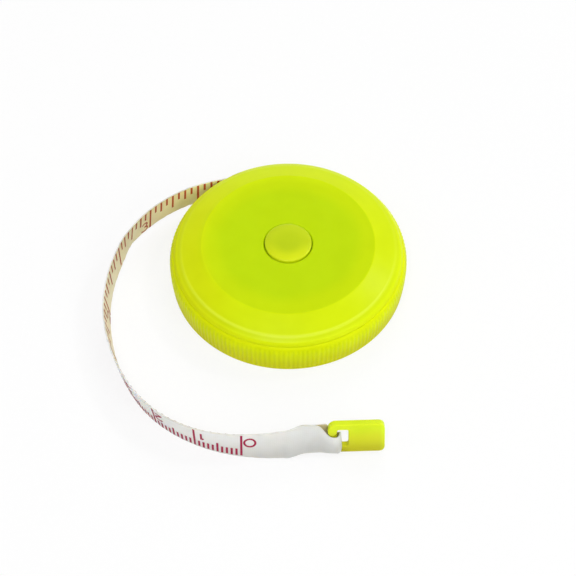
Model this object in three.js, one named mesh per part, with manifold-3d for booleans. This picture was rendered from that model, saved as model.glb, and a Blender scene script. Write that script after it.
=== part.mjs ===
// Retractable cloth tape measure in a round case, with its tape pulled out.
// Lengths are in millimetres. Z is up. The origin is the centre of the case's underside.
import * as THREE from "three";
import { mergeVertices } from "three/addons/utils/BufferGeometryUtils.js";
import Module from "manifold-3d";

const wasm = await Module();
wasm.setup();

// Clearances
const seatGap = 0.3; // beside a seat, and under what a button or a brake lifts
const turnGap = 0.1; // round what turns on the post
const overrun = 1.0; // how far a cutter runs past the face it cuts

// Lower shell: floor, ribbed wall, lip round the mouth, post, guide post
const bellyRadius = 26.0;
const bellyShare = 0.75; // of the wall's height
const shoulderInset = 0.5;
const wallThickness = 1.9; // at the shoulder
const wallEdge = 0.45;
const ribCount = 160;
const ribDepth = 0.3;
const floorThickness = 1.0;
const lipDepth = 2.7;
const postRadius = 2.65;
const postBore = 1.7;
const postBoreFloor = 1.0; // above the floor
const postSlit = 1.1;
const padRadius = 4.2;
const guideRadius = 0.8;
const guideDrop = 2.0; // from the cover's underside
const guideClearance = 0.5;
const guideInset = 0.84; // from the wall's inner face

// Cover: flat disc, bevel, brow, edge that meets the wall, skirt that drops into the lip
const coverRise = 3.5; // above the lower shell's wall
const coverThickness = 1.1;
const skirtInset = 1.3;
const skirtWall = 1.0;
const coverTopInset = 5.25; // from the skirt
const coverRimInset = 0.8; // from the skirt
const coverRimDrop = 1.85;
const coverBrowInset = 1.0; // from the wall's shoulder
const coverBrowDrop = 2.5;
const coverSeamInset = 0.4; // from the wall's shoulder
const coverSeamGap = 0.15;
const coverSeamRise = 0.2;
const coverInset = 0.25;
const coverInnerDrop = 3.0;
const coverEdge = 0.25;

// Tape, its slot, and the circle that it slides along
const tapeWidth = 7.0;
const tapeThickness = 0.4;
const tapeFloorGap = 0.4;
const tapeTopGap = 0.6;
const slotSideGap = 0.5;
const slotEdgeGap = 0.25;
const slotReach = 2.0; // how far the slot's cutter runs past both faces of the wall
const slideShare = 1.79; // of the wound tape's radius
const slideBearing = 226.6; // degrees, direction of the circle's centre from the case's
const packGap = 0.4;
const slideInnerAngle = 48.0; // degrees round the circle where the loose tape starts
const slideOuterAngle = 148.0; // degrees where it leaves the circle
const slideLean = -6.0; // degrees from upright, as in the free route

// Reel: open drum on the post, with the power spring inside it
const reelFloorGap = 0.3;
const drumMouthGap = 2.3; // round the brake disc
const drumWall = 1.6;
const drumMouthWall = 1.2;
const webThickness = 0.7;
const springNotch = 1.0;
const springNotchDepth = 0.9;

// Power spring: a flat strip wound between the post and the drum
const springThickness = 0.25;
const springInnerRadius = 4.0;
const springRimGap = 0.6;
const springTurns = 7.25;
const springTail = 2.0; // radius where the inner end stops inside the post's slit
const springHook = 0.5; // how far the outer end reaches into the drum's wall
const springCoverThickness = 0.6;
const springCoverHole = 4.8;

// Wound tape
const packShare = 0.72; // of the wall's inner radius
const packWindingGap = 0.1;

// Brake: a ring on the button's disc bears up on a plate in the reel
const brakePlateThickness = 0.6;
const brakePlateOverhang = 0.4; // past the wound tape
const brakePlateHoleGap = 0.5; // round the button's flange
const brakePlateTopGap = 0.5;
const brakeGap = 0.3;
const brakeRingGrip = 0.4; // from the plate's hole to the ring
const brakeRingThickness = 0.6;
const brakeRingWidth = 2.0;
const brakeDiscRim = 0.3; // past the ring
const brakeDiscThickness = 0.8;
const brakeDiscGap = 1.1; // above the spring's cover

// Push button and its return spring
const buttonRadius = 5.0;
const buttonGap = 0.28;
const buttonEdge = 0.35;
const buttonDome = 0.4;
const buttonCrown = 1.3;
const buttonFlangeRadius = 5.9;
const buttonFlangeThickness = 0.6;
const buttonStemRadius = 3.9;
const buttonShoulderRadius = 4.5;
const buttonSnapRadius = 4.2;
const buttonSnapHeight = 0.3;
const buttonSnapWall = 0.1;
const buttonKey = 0.5;
const buttonKeyReach = 2.1;
const wireDiameter = 0.35;
const coilRadius = 1.2;
const coilTurns = 7;

// Pull tab and the tape's loop round its bar
const tabLength = 11.8;
const tabHeight = 6.9;
const tabThickness = 1.8;
const tabCorner = 1.0;
const tabShoulder = 1.7;
const tabFoot = 0.5;
const tabRail = 1.1;
const tabTopRail = 1.35;
const tabHookWidth = 1.9;
const tabHookLow = 4.1;
const tabSlotLeft = 2.1;
const tabSlotRight = 4.3;
const barLeft = 0.2;
const barLength = 1.8;
const barThickness = 1.2;
const barTop = 3.8;
const tabX = 8.2;
const tabY = -45.8;
const tabHeading = 2.0; // degrees
const tabLean = 21.0; // degrees from upright
const restGap = 0.1;
const loopWall = 0.4;
const loopRailGap = 0.3;
const loopHookGap = 0.3;
const loopFrontGap = 0.3;
const loopSeat = 0.2; // how far the tape's end runs into the loop's wall
const endThickness = 1.0;
const endCut = 2.4; // length of the slanted cut at the end's upper corner
const endCutRise = 2.7;
const endShoulder = 0.25;
const jointGap = 0.3;

// The tape's free route past its sliding circle: plan x and y of the middle of its width,
// height of its lower edge, and its lean from upright in degrees, outwards positive.
const freeRoute = [
  [-36.3, 2.9, 1.4, -2],
  [-38.2, -3.5, 1.1, 2],
  [-39.1, -10.0, 0.6, 7],
  [-38.8, -16.7, 0.25, 10],
  [-37.3, -23.5, 0.1, 10],
  [-34.6, -30.2, 0.1, 10],
  [-30.7, -36.3, 0.1, 9],
  [-25.5, -41.2, 0.1, 8],
  [-19.2, -44.6, 0.1, 4],
  [-12.6, -46.4, 0.1, -3],
  [-6.0, -46.8, 0.1, -12],
  [-1.2, -46.3, 0.1, -18],
  [2.6, -45.35, 0.1, -21],
];
const stripEndIndex = 10; // the printed strip stops at this point of the free route
const slideStep = 6.25; // degrees between the circle's points
const stepsPerPoint = 3;

// Facets
const roundSegments = 96;
const innerSegments = 60;
const smallSegments = 40;
const springSteps = 18;
const coilSteps = 8;
const wireSides = 5;

// Heights that follow from the sizes above, from the floor up
const degrees = Math.PI / 180;
const tapeLow = floorThickness + tapeFloorGap;
const reelLow = floorThickness + reelFloorGap;
const drumTop = tapeLow + tapeWidth + tapeTopGap;
const brakePlateTop = drumTop + brakePlateThickness;
const coverUnderside = brakePlateTop + brakePlateTopGap;
const caseHeight = coverUnderside + coverThickness;
const wallHeight = caseHeight - coverRise;
const lipLow = wallHeight - lipDepth;
const brakeRingTop = drumTop - brakeGap;
const brakeDiscTop = brakeRingTop - brakeRingThickness;
const brakeDiscLow = brakeDiscTop - brakeDiscThickness;
const springLow = reelLow + webThickness + seatGap;
const springCoverTop = brakeDiscLow - brakeDiscGap;
const springCoverLow = springCoverTop - springCoverThickness;
const springTop = springCoverLow - seatGap;
const buttonFlangeTop = coverUnderside - seatGap;
const buttonCeiling = caseHeight - buttonCrown;
const boreFloor = floorThickness + postBoreFloor;

// Radii that follow from the sizes above: the shells from the outside in
const shoulderRadius = bellyRadius - shoulderInset;
const wallInnerRadius = shoulderRadius - wallThickness;
const skirtRadius = shoulderRadius - skirtInset;
const lipRadius = skirtRadius + seatGap;
const packRadius = wallInnerRadius * packShare;

// The brake and the drum from the button outwards
const coverHole = buttonRadius + buttonGap;
const buttonBore = postRadius + seatGap;
const brakePlateHole = buttonFlangeRadius + brakePlateHoleGap;
const brakeRingInner = brakePlateHole + brakeRingGrip;
const brakeRingOuter = brakeRingInner + brakeRingWidth;
const brakeDiscRadius = brakeRingOuter + brakeDiscRim;
const drumRadius = brakeDiscRadius + drumMouthGap + drumMouthWall;

// The circle that the tape slides along, which passes close outside the wound tape
const slideRadius = packRadius * slideShare;
const slideOffset = slideRadius - (packRadius + packGap + tapeThickness / 2);
const slideCentre = onCircle(0, 0, slideOffset, slideBearing);

// Point at an angle round a centre, seen from above
function onCircle(x, y, radius, angle) {
  return new THREE.Vector2(
    x + radius * Math.cos(angle * degrees),
    y + radius * Math.sin(angle * degrees),
  );
}

// Angle round the sliding circle at which it crosses a radius from the case's axis
function slideAngle(radius) {
  const across = radius ** 2 - slideOffset ** 2 - slideRadius ** 2;
  return slideBearing - Math.acos(across / (2 * slideOffset * slideRadius)) / degrees;
}

// Signed volume of an indexed geometry, negative where its faces point inwards
function signedVolume(positions, index) {
  const corner = (k) => new THREE.Vector3().fromArray(positions, 3 * index[k]);
  let total = 0;
  for (let k = 0; k < index.length; k += 3) {
    total += corner(k).dot(corner(k + 1).cross(corner(k + 2))) / 6;
  }
  return total;
}

// A closed geometry as a solid that can be cut and joined
function solid(geometry) {
  const bare = geometry.clone();
  bare.deleteAttribute("normal");
  bare.deleteAttribute("uv");
  const welded = mergeVertices(bare);
  const positions = welded.attributes.position.array;
  const kept = [];
  const index = welded.index.array;
  for (let k = 0; k < index.length; k += 3) {
    const [a, b, c] = [index[k], index[k + 1], index[k + 2]];
    if (a !== b && b !== c && c !== a) kept.push(a, b, c);
  }
  if (signedVolume(positions, kept) < 0) kept.reverse();
  return new wasm.Manifold(new wasm.Mesh({
    numProp: 3,
    vertProperties: Float32Array.from(positions),
    triVerts: Uint32Array.from(kept),
  }));
}

// A named mesh of a solid, in its own material
function piece(name, body, material) {
  const { vertProperties, triVerts } = body.getMesh();
  const geometry = new THREE.BufferGeometry();
  geometry.setAttribute("position", new THREE.BufferAttribute(vertProperties, 3));
  geometry.setIndex(new THREE.BufferAttribute(triVerts, 1));
  geometry.computeVertexNormals();
  const mesh = new THREE.Mesh(geometry, material);
  mesh.name = name;
  return mesh;
}

function plastic(colour, roughness) {
  return new THREE.MeshStandardMaterial({ color: colour, roughness, metalness: 0 });
}

function metal(colour, roughness) {
  return new THREE.MeshStandardMaterial({ color: colour, roughness, metalness: 1 });
}

// Solid of revolution round Z from [radius, height] points
function revolve(profile, segments = roundSegments) {
  const points = profile.map(([radius, height]) => new THREE.Vector2(radius, height));
  return solid(new THREE.LatheGeometry(points, segments).rotateX(Math.PI / 2));
}

// Ring round Z with a plain rectangular section
function ring(inner, outer, low, high, segments = innerSegments) {
  return revolve(
    [[inner, low], [outer, low], [outer, high], [inner, high], [inner, low]],
    segments,
  );
}

// Cylinder round Z
function disc(radius, low, high, segments = roundSegments) {
  return revolve([[0, low], [radius, low], [radius, high], [0, high]], segments);
}

// Upright prism of a plan outline
function prism(shape, low, high, curveSegments = smallSegments) {
  const geometry = new THREE.ExtrudeGeometry(shape, {
    depth: high - low,
    bevelEnabled: false,
    curveSegments,
  });
  return solid(geometry.translate(0, 0, low));
}

// Box between two corners
function block(x0, x1, y0, y1, low, high) {
  const geometry = new THREE.BoxGeometry(x1 - x0, y1 - y0, high - low);
  return solid(geometry.translate((x0 + x1) / 2, (y0 + y1) / 2, (low + high) / 2));
}

// Solid through a row of closed sections that all have the same number of points
function loft(sections) {
  const count = sections[0].length;
  const positions = [];
  for (const section of sections) {
    for (const point of section) positions.push(point.x, point.y, point.z);
  }
  const index = [];
  for (let row = 0; row + 1 < sections.length; row += 1) {
    for (let k = 0; k < count; k += 1) {
      const next = (k + 1) % count;
      const [a, b] = [row * count + k, row * count + next];
      index.push(a, b, b + count, a, b + count, a + count);
    }
  }
  const cap = (section, first, inwards) => {
    const centre = new THREE.Vector3();
    for (const point of section) centre.addScaledVector(point, 1 / count);
    const hub = positions.length / 3;
    positions.push(centre.x, centre.y, centre.z);
    for (let k = 0; k < count; k += 1) {
      const pair = [first + k, first + ((k + 1) % count)];
      if (inwards) pair.reverse();
      index.push(hub, ...pair);
    }
  };
  cap(sections[0], 0, true);
  cap(sections[sections.length - 1], (sections.length - 1) * count, false);
  const geometry = new THREE.BufferGeometry();
  geometry.setAttribute("position", new THREE.Float32BufferAttribute(positions, 3));
  geometry.setIndex(index);
  return solid(geometry);
}

// Barrel-shaped wall with upright ribs that run out into plain edges
function ribbedBarrel() {
  const levels = [
    [0, shoulderRadius - wallEdge, 0],
    [wallEdge, shoulderRadius, ribDepth],
    [wallHeight * bellyShare, bellyRadius, ribDepth],
    [wallHeight - wallEdge, shoulderRadius, ribDepth],
    [wallHeight, shoulderRadius - wallEdge, 0],
  ];
  return loft(levels.map(([height, radius, depth]) => {
    const section = [];
    for (let k = 0; k < 2 * ribCount; k += 1) {
      const here = onCircle(0, 0, radius - (k % 2) * depth, (k * 180) / ribCount);
      section.push(new THREE.Vector3(here.x, here.y, height));
    }
    return section;
  }));
}

// Sector of the slot that follows the tape's sliding circle through both shells
function slotCutter() {
  const half = tapeThickness / 2 + slotSideGap;
  const from = slideAngle(wallInnerRadius - slotReach) * degrees;
  const to = slideAngle(bellyRadius + slotReach) * degrees;
  const shape = new THREE.Shape();
  shape.absarc(slideCentre.x, slideCentre.y, slideRadius + half, from, to, false);
  shape.absarc(slideCentre.x, slideCentre.y, slideRadius - half, to, from, true);
  return prism(shape, tapeLow - slotEdgeGap, tapeLow + tapeWidth + slotEdgeGap);
}

function lowerShell() {
  const hollow = revolve([
    [0, floorThickness], [wallInnerRadius, floorThickness], [wallInnerRadius, lipLow],
    [lipRadius, lipLow], [lipRadius, wallHeight + overrun], [0, wallHeight + overrun],
  ]);
  const slit = block(
    -postRadius - overrun, postRadius + overrun, -postSlit / 2, postSlit / 2,
    boreFloor, brakeRingTop + overrun,
  );
  const post = disc(postRadius, floorThickness, brakeRingTop, smallSegments)
    .add(disc(padRadius, floorThickness, reelLow - turnGap, smallSegments))
    .subtract(disc(postBore, boreFloor, brakeRingTop + overrun, smallSegments))
    .subtract(slit);
  const inward = slideRadius - tapeThickness / 2 - guideClearance - guideRadius;
  const guideAngle = slideAngle(wallInnerRadius - guideInset);
  const foot = onCircle(slideCentre.x, slideCentre.y, inward, guideAngle);
  const guide = new THREE.Shape();
  guide.absarc(foot.x, foot.y, guideRadius, 0, 2 * Math.PI, false);
  return ribbedBarrel()
    .subtract(hollow)
    .add(post)
    .add(prism(guide, floorThickness, coverUnderside - guideDrop, smallSegments / 4))
    .subtract(slotCutter());
}

function cover() {
  const topRadius = skirtRadius - coverTopInset;
  const shell = revolve([
    [coverHole, coverUnderside],
    [topRadius - coverInset, coverUnderside],
    [skirtRadius - skirtWall, caseHeight - coverInnerDrop],
    [skirtRadius - skirtWall, lipLow],
    [skirtRadius, lipLow],
    [skirtRadius, wallHeight + coverSeamGap],
    [shoulderRadius - coverSeamInset, wallHeight + coverSeamGap],
    [shoulderRadius - coverSeamInset, wallHeight + coverSeamGap + coverSeamRise],
    [shoulderRadius - coverBrowInset, caseHeight - coverBrowDrop],
    [skirtRadius - coverRimInset, caseHeight - coverRimDrop],
    [topRadius, caseHeight],
    [coverHole + coverEdge, caseHeight],
    [coverHole, caseHeight - coverEdge],
    [coverHole, coverUnderside],
  ]);
  return shell.subtract(slotCutter());
}

// Outline of a strip of even thickness along a row of plan points
function stripOutline(points, thickness) {
  const sides = [1, -1].map((side) => points.map((point, k) => {
    const before = points[Math.max(k - 1, 0)];
    const after = points[Math.min(k + 1, points.length - 1)];
    const along = after.clone().sub(before).normalize();
    return new THREE.Vector2(-along.y, along.x)
      .multiplyScalar((side * thickness) / 2)
      .add(point);
  }));
  return new THREE.Shape([...sides[0], ...sides[1].reverse()]);
}

// The flat spring's turns, from the post's slit to the notch in the drum
function powerSpring() {
  const outer = drumRadius - drumWall - springRimGap;
  const steps = Math.round(springTurns * springSteps);
  const points = [new THREE.Vector2(springTail, 0)];
  for (let k = 0; k <= steps; k += 1) {
    const share = k / steps;
    const radius = springInnerRadius + (outer - springInnerRadius) * share;
    points.push(onCircle(0, 0, radius, 360 * springTurns * share));
  }
  points.push(onCircle(0, 0, drumRadius - drumWall + springHook, 360 * springTurns));
  const pitch = (outer - springInnerRadius) / springTurns;
  console.log(`power spring: least gap between turns ${(pitch - springThickness).toFixed(2)} mm`);
  return prism(stripOutline(points, springThickness), springLow, springTop);
}

function reel() {
  const inner = drumRadius - drumWall;
  const mouth = drumRadius - drumMouthWall;
  const bore = postRadius + turnGap;
  const webTop = reelLow + webThickness;
  const drum = revolve([
    [bore, reelLow], [drumRadius, reelLow], [drumRadius, drumTop], [mouth, drumTop],
    [mouth, springCoverLow], [inner, springCoverLow], [inner, webTop],
    [bore, webTop], [bore, reelLow],
  ], innerSegments);
  const notchAngle = 360 * springTurns;
  const notch = block(
    inner - overrun, inner + springNotchDepth, -springNotch / 2, springNotch / 2,
    springLow - seatGap / 2, springCoverLow + seatGap / 2,
  ).rotate([0, 0, notchAngle]);
  return drum.subtract(notch);
}

// Wound tape: a plain core whose outer turn steps down at its end
function woundTape() {
  const shape = new THREE.Shape();
  for (let k = 0; k <= roundSegments; k += 1) {
    const share = k / roundSegments;
    const point = onCircle(0, 0, packRadius - tapeThickness * (1 - share), 360 * share);
    if (k === 0) shape.moveTo(point.x, point.y);
    else shape.lineTo(point.x, point.y);
  }
  shape.closePath();
  const hole = new THREE.Path();
  hole.absarc(0, 0, drumRadius + packWindingGap, 0, 2 * Math.PI, true);
  shape.holes.push(hole);
  return prism(shape, tapeLow, tapeLow + tapeWidth, roundSegments / 2);
}

function pushButton() {
  const edgeTop = caseHeight;
  const rimTop = edgeTop - buttonEdge;
  const dome = [];
  const domeSteps = 4;
  for (let k = 1; k <= domeSteps; k += 1) {
    const share = k / domeSteps;
    const reach = (buttonRadius - buttonEdge) * (1 - share);
    dome.push([reach, edgeTop + buttonDome * (1 - (1 - share) ** 2)]);
  }
  const body = revolve([
    [0, buttonCeiling],
    [buttonBore, buttonCeiling],
    [buttonBore, brakeDiscLow - buttonSnapHeight],
    [buttonSnapRadius, brakeDiscLow - buttonSnapHeight],
    [buttonStemRadius, brakeDiscLow],
    [buttonStemRadius, brakeDiscTop],
    [buttonShoulderRadius, brakeDiscTop],
    [buttonShoulderRadius, buttonFlangeTop - buttonFlangeThickness],
    [buttonFlangeRadius, buttonFlangeTop - buttonFlangeThickness],
    [buttonFlangeRadius, buttonFlangeTop],
    [buttonRadius, buttonFlangeTop],
    [buttonRadius, rimTop],
    [buttonRadius - buttonEdge, edgeTop],
    ...dome,
  ], roundSegments / 2);
  const keys = [1, -1].map((side) => block(
    Math.min(side * buttonKeyReach, side * (buttonBore + buttonKey)),
    Math.max(side * buttonKeyReach, side * (buttonBore + buttonKey)),
    -buttonKey / 2, buttonKey / 2, brakeDiscLow, buttonCeiling + buttonKey,
  ));
  return body.add(keys[0]).add(keys[1]);
}

// Helix of the button's return spring, flat at both ends
class Coil extends THREE.Curve {
  constructor(low, high) {
    super();
    this.low = low;
    this.high = high;
  }

  getPoint(share, target = new THREE.Vector3()) {
    const plan = onCircle(0, 0, coilRadius, 360 * coilTurns * share);
    return target.set(plan.x, plan.y, this.low + (this.high - this.low) * share);
  }
}

function buttonSpring() {
  const low = boreFloor + wireDiameter;
  const high = buttonCeiling - wireDiameter;
  const wire = new THREE.Shape();
  for (let k = 0; k < wireSides; k += 1) {
    const point = onCircle(0, 0, wireDiameter / 2, (360 * k) / wireSides);
    if (k === 0) wire.moveTo(point.x, point.y);
    else wire.lineTo(point.x, point.y);
  }
  const gap = (high - low) / coilTurns - wireDiameter;
  console.log(`button spring: least gap between turns ${gap.toFixed(2)} mm`);
  return solid(new THREE.ExtrudeGeometry(wire, {
    steps: coilSteps * coilTurns,
    extrudePath: new Coil(low, high),
  }));
}

// Every point of the tape's route: plan, height of the lower edge and lean
function tapeRoute() {
  const rows = [];
  const stretches = Math.round((slideOuterAngle - slideInnerAngle) / slideStep);
  for (let k = 0; k <= stretches; k += 1) {
    const angle = slideInnerAngle + ((slideOuterAngle - slideInnerAngle) * k) / stretches;
    const point = onCircle(slideCentre.x, slideCentre.y, slideRadius, angle);
    rows.push([point.x, point.y, tapeLow, slideLean]);
  }
  return rows.concat(freeRoute);
}

// Section of the tape across its route: thickness by the stretch between two heights on it
function tapeSection(place, thickness, from, to) {
  const across = new THREE.Vector3(place.along.y, -place.along.x, 0);
  const rise = new THREE.Vector3(0, 0, Math.cos(place.lean))
    .addScaledVector(across, Math.sin(place.lean));
  const face = new THREE.Vector3(0, 0, -Math.sin(place.lean))
    .addScaledVector(across, Math.cos(place.lean));
  const middle = place.centre.clone();
  middle.z += (tapeWidth / 2) * Math.cos(place.lean)
    + (thickness / 2) * Math.abs(Math.sin(place.lean));
  const at = (height, side) => middle.clone()
    .addScaledVector(rise, height - tapeWidth / 2)
    .addScaledVector(face, (side * thickness) / 2);
  return [at(from, -1), at(from, 1), at(to, 1), at(to, -1)];
}

// Even places along the route between two of its points
function routePlaces(first, last) {
  const rows = tapeRoute();
  const curve = new THREE.CatmullRomCurve3(
    rows.map(([x, y, low]) => new THREE.Vector3(x, y, low)),
    false,
    "catmullrom",
    0.5,
  );
  const places = [];
  const count = (last - first) * stepsPerPoint;
  for (let k = 0; k <= count; k += 1) {
    const at = first + (k * (last - first)) / count;
    const share = at / (rows.length - 1);
    const before = Math.min(Math.floor(at), rows.length - 2);
    const blend = THREE.MathUtils.smoothstep(at - before, 0, 1);
    const lean = THREE.MathUtils.lerp(rows[before][3], rows[before + 1][3], blend);
    const along = curve.getTangent(share).setZ(0).normalize();
    places.push({ centre: curve.getPoint(share), along, lean: lean * degrees });
  }
  return places;
}

function looseTape() {
  const last = tapeRoute().length - freeRoute.length + stripEndIndex;
  return loft(routePlaces(0, last).map(
    (place) => tapeSection(place, tapeThickness, 0, tapeWidth),
  ));
}

// Where the pull tab's own frame lies: X along the tab, Y through it, Z up its face
function tabPlacement() {
  const turn = new THREE.Matrix4().makeRotationZ(tabHeading * degrees);
  const lean = new THREE.Matrix4().makeRotationX(-tabLean * degrees);
  const lift = restGap + (tabThickness / 2) * Math.sin(tabLean * degrees);
  return new THREE.Matrix4().makeTranslation(tabX, tabY, lift).multiply(turn).multiply(lean);
}

// Plate of an outline drawn along and up the tab, in the tab's own frame
function tabPlate(shape, thickness, curveSegments = smallSegments / 5) {
  const geometry = new THREE.ExtrudeGeometry(shape, {
    depth: thickness,
    bevelEnabled: false,
    curveSegments,
  });
  return geometry.rotateX(Math.PI / 2).translate(0, thickness / 2, 0);
}

// Round-ended outline in plan, used by the tab's bar and the loop round it
function stadium(centre, reach, radius) {
  const shape = new THREE.Shape();
  shape.absarc(centre + reach, 0, radius, -Math.PI / 2, Math.PI / 2, false);
  shape.absarc(centre - reach, 0, radius, Math.PI / 2, (3 * Math.PI) / 2, false);
  return shape;
}

function uprightStadium(centre, reach, radius, low, high) {
  return prism(stadium(centre, reach, radius), low, high, smallSegments / 4);
}

// Tab: plate, slot, top rail that curls down as a hook, bottom rail and bar
function pullTab() {
  const hook = tabHookWidth / 2;
  const slotTop = tabHeight - tabTopRail;
  const outline = new THREE.Shape();
  outline.moveTo(barLeft + tabFoot, 0);
  outline.lineTo(tabLength - tabCorner, 0);
  outline.absarc(tabLength - tabCorner, tabCorner, tabCorner, -Math.PI / 2, 0, false);
  outline.lineTo(tabLength, tabHeight - tabCorner);
  outline.absarc(tabLength - tabCorner, tabHeight - tabCorner, tabCorner, 0, Math.PI / 2, false);
  outline.lineTo(tabShoulder, tabHeight);
  outline.absarc(tabShoulder, tabHeight - tabShoulder, tabShoulder, Math.PI / 2, Math.PI, false);
  outline.absarc(hook, tabHookLow + hook, hook, Math.PI, 2 * Math.PI, false);
  outline.lineTo(tabSlotLeft, slotTop);
  outline.lineTo(tabSlotRight, slotTop);
  outline.lineTo(tabSlotRight, tabRail);
  outline.lineTo(barLeft, tabRail);
  outline.lineTo(barLeft, tabFoot);
  outline.closePath();
  const reach = barLength / 2 - barThickness / 2;
  const middle = barLeft + barLength / 2;
  return solid(tabPlate(outline, tabThickness))
    .add(uprightStadium(middle, reach, barThickness / 2, tabRail / 2, barTop));
}

// Plain doubled end of the tape: it narrows to a tongue that loops round the tab's bar
function tapeEnd() {
  const rows = tapeRoute();
  const start = rows.length - freeRoute.length + stripEndIndex;
  const places = routePlaces(start, rows.length - 1);
  const along = places[0].along;
  places[0].centre.addScaledVector(along, jointGap);
  const placement = tabPlacement();
  const middle = barLeft + barLength / 2;
  const reach = barLength / 2 - barThickness / 2;
  const bore = barThickness / 2 + loopFrontGap;
  const tongueLow = tabRail + loopRailGap;
  const tongueTop = tabHookLow - loopHookGap;
  const sections = places.map((place, k) => {
    const share = Math.min(k / stepsPerPoint, 1);
    const thickness = THREE.MathUtils.lerp(tapeThickness, endThickness, share);
    return tapeSection(place, thickness, 0, tapeWidth);
  });
  const inTab = (x, y, z) => new THREE.Vector3(x, y, z).applyMatrix4(placement);
  const tabSection = (x, low, top) => [
    inTab(x, endThickness / 2, low), inTab(x, -endThickness / 2, low),
    inTab(x, -endThickness / 2, top), inTab(x, endThickness / 2, top),
  ];
  const loopEdge = middle - reach - bore - loopWall;
  const cutEnd = loopEdge - endShoulder;
  sections.push(tabSection(cutEnd - endCut, 0, tapeWidth));
  sections.push(tabSection(cutEnd, 0, tapeWidth - endCutRise));
  sections.push(tabSection(loopEdge + loopSeat, tongueLow, tongueTop));
  const loop = uprightStadium(middle, reach, bore + loopWall, tongueLow, tongueTop)
    .subtract(uprightStadium(middle, reach, bore, tongueLow - overrun, tongueTop + overrun));
  const placed = loop.transform(placement.elements);
  return loft(sections).add(placed);
}

const lime = plastic(0xcddf24, 0.35);
const limeInner = plastic(0xbfd020, 0.4);
const ivory = plastic(0xe8e6d8, 0.5);
const black = plastic(0x2a2a2a, 0.8);
const tapeWhite = plastic(0xe6e6dc, 0.55);
const steel = metal(0x9aa0a6, 0.35);

const tape = new THREE.Group();
tape.add(piece("wound_tape", woundTape(), tapeWhite));
tape.add(piece("tape_strip", looseTape(), tapeWhite));
tape.add(piece("tape_end_loop", tapeEnd(), tapeWhite));

const tab = new THREE.Group();
tab.applyMatrix4(tabPlacement());
tab.add(piece("pull_tab", pullTab(), lime));

const drive = new THREE.Group();
drive.add(piece("reel", reel(), ivory));
drive.add(piece("power_spring", powerSpring(), steel));
drive.add(piece("spring_cover", ring(
  springCoverHole, drumRadius - drumMouthWall - seatGap / 2, springCoverLow, springCoverTop,
), ivory));
drive.add(piece("brake_plate", ring(
  brakePlateHole, packRadius + brakePlateOverhang, drumTop, brakePlateTop,
), ivory));

const button = new THREE.Group();
button.add(piece("push_button", pushButton(), lime));
button.add(piece("button_spring", buttonSpring(), steel));
button.add(piece("brake_disc", ring(
  buttonStemRadius + buttonSnapWall, brakeDiscRadius, brakeDiscLow, brakeDiscTop,
), ivory));
button.add(piece("brake_ring", ring(
  brakeRingInner, brakeRingOuter, brakeDiscTop, brakeRingTop,
), black));

const shells = new THREE.Group();
shells.add(piece("lower_shell", lowerShell(), lime));
shells.add(piece("cover", cover(), limeInner));

const group = new THREE.Group();
group.add(shells, drive, button, tape, tab);

export default group;
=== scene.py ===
# %% [markdown]
# # A cloth tape measure, piece by piece
#
# This lesson dresses a small retractable tape measure: a round yellow-green plastic case with a
# ribbed side and a brake button, and a printed tape that curves out to a pull tab. The solid
# model is already there as a frame of named nodes, and Blender's job is the look of each piece.
# Sizes are written in mm, in the frame's own axes, and turned into metres when a piece is made.

# %% Load the frame
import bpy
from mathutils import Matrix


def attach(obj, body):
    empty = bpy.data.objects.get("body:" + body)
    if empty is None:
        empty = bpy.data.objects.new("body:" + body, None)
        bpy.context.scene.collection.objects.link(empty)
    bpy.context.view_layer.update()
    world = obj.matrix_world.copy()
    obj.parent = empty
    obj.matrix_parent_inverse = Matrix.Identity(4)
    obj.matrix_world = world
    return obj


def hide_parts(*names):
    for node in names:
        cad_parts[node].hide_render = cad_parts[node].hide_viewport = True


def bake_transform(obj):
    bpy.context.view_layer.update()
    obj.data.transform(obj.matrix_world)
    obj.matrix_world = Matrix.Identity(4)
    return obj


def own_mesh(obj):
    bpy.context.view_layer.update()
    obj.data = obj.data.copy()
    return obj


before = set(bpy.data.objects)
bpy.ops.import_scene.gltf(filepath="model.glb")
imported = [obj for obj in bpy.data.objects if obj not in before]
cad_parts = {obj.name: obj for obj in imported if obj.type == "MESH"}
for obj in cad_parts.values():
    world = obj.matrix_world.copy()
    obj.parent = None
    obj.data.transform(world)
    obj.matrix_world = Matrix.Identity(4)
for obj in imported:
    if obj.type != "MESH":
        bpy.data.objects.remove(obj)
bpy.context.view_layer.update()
print("nodes:", sorted(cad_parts))

# %% The other tools, and the unit that sizes are written in
import math

import bmesh
import bpy
import numpy as np
from mathutils import Matrix, Vector

mm = 0.001

# %% [markdown]
# ## The camera
#
# A product picture is taken from far away with a long lens, so that round things stay round. A
# small shift moves the picture, because turning the camera would change how the circles look.

# %% Set the camera up
view_angle = math.radians(15)
look_down = math.radians(53.341)
away = 482 * mm
eye = away * Vector((0, -math.cos(look_down), math.sin(look_down)))

camera_data = bpy.data.cameras.new("picture_camera")
camera_data.angle = view_angle
camera_data.shift_x, camera_data.shift_y = -0.0004, -0.024
camera = bpy.data.objects.new("picture_camera", camera_data)
camera.location = eye
camera.rotation_euler = (-eye).to_track_quat("-Z", "Y").to_euler()
bpy.context.scene.collection.objects.link(camera)
bpy.context.scene.camera = camera
print("camera stands at", [round(c, 3) for c in eye])

# %% [markdown]
# ## Helpers for making meshes
#
# Most pieces are grids of points: rows of a turned profile, or sections along the tape. The
# helpers join a grid into four-sided faces, round the corners of a profile, turn it like a
# potter's wheel, and make a smooth object that stays crisp where faces meet at a steep angle.

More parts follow.
